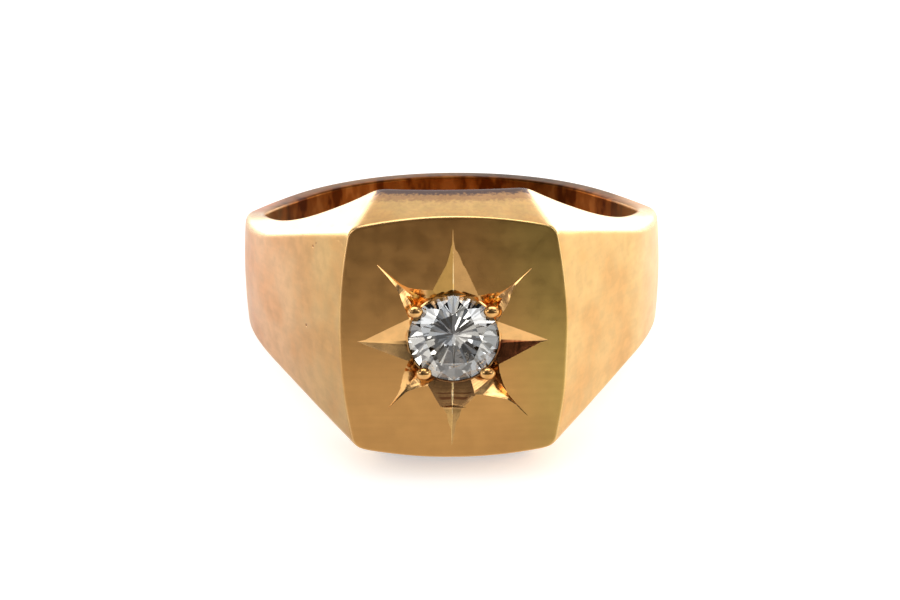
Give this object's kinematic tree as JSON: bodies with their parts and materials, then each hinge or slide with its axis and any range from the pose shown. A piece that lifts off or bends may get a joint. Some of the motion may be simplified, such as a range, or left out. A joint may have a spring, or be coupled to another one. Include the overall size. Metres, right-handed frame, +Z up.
{
  "type": "square-headed gold signet ring with a star-set round diamond",
  "caption": "Gold signet ring with a flat square face, straight shoulders and a round diamond held by grains in a star-shaped engraved cut.",
  "frame": {"origin": "middle of the bounding box at the surface that the ring lies on", "axes": "+Z up from that surface; -Y towards the square face; the finger hole runs along Z, leaning 13 degrees towards +Y at the top"},
  "size_m": [0.0212, 0.0238, 0.013],
  "materials": {
    "gold": "satin rose-yellow gold with worn, slightly scratched surfaces; polished cuts and grains",
    "diamond": "clear faceted stone, flat polished facets"
  },
  "bodies": {
    "root": {"signet_body": "gold", "diamond": "diamond"}
  },
  "joints": []
}
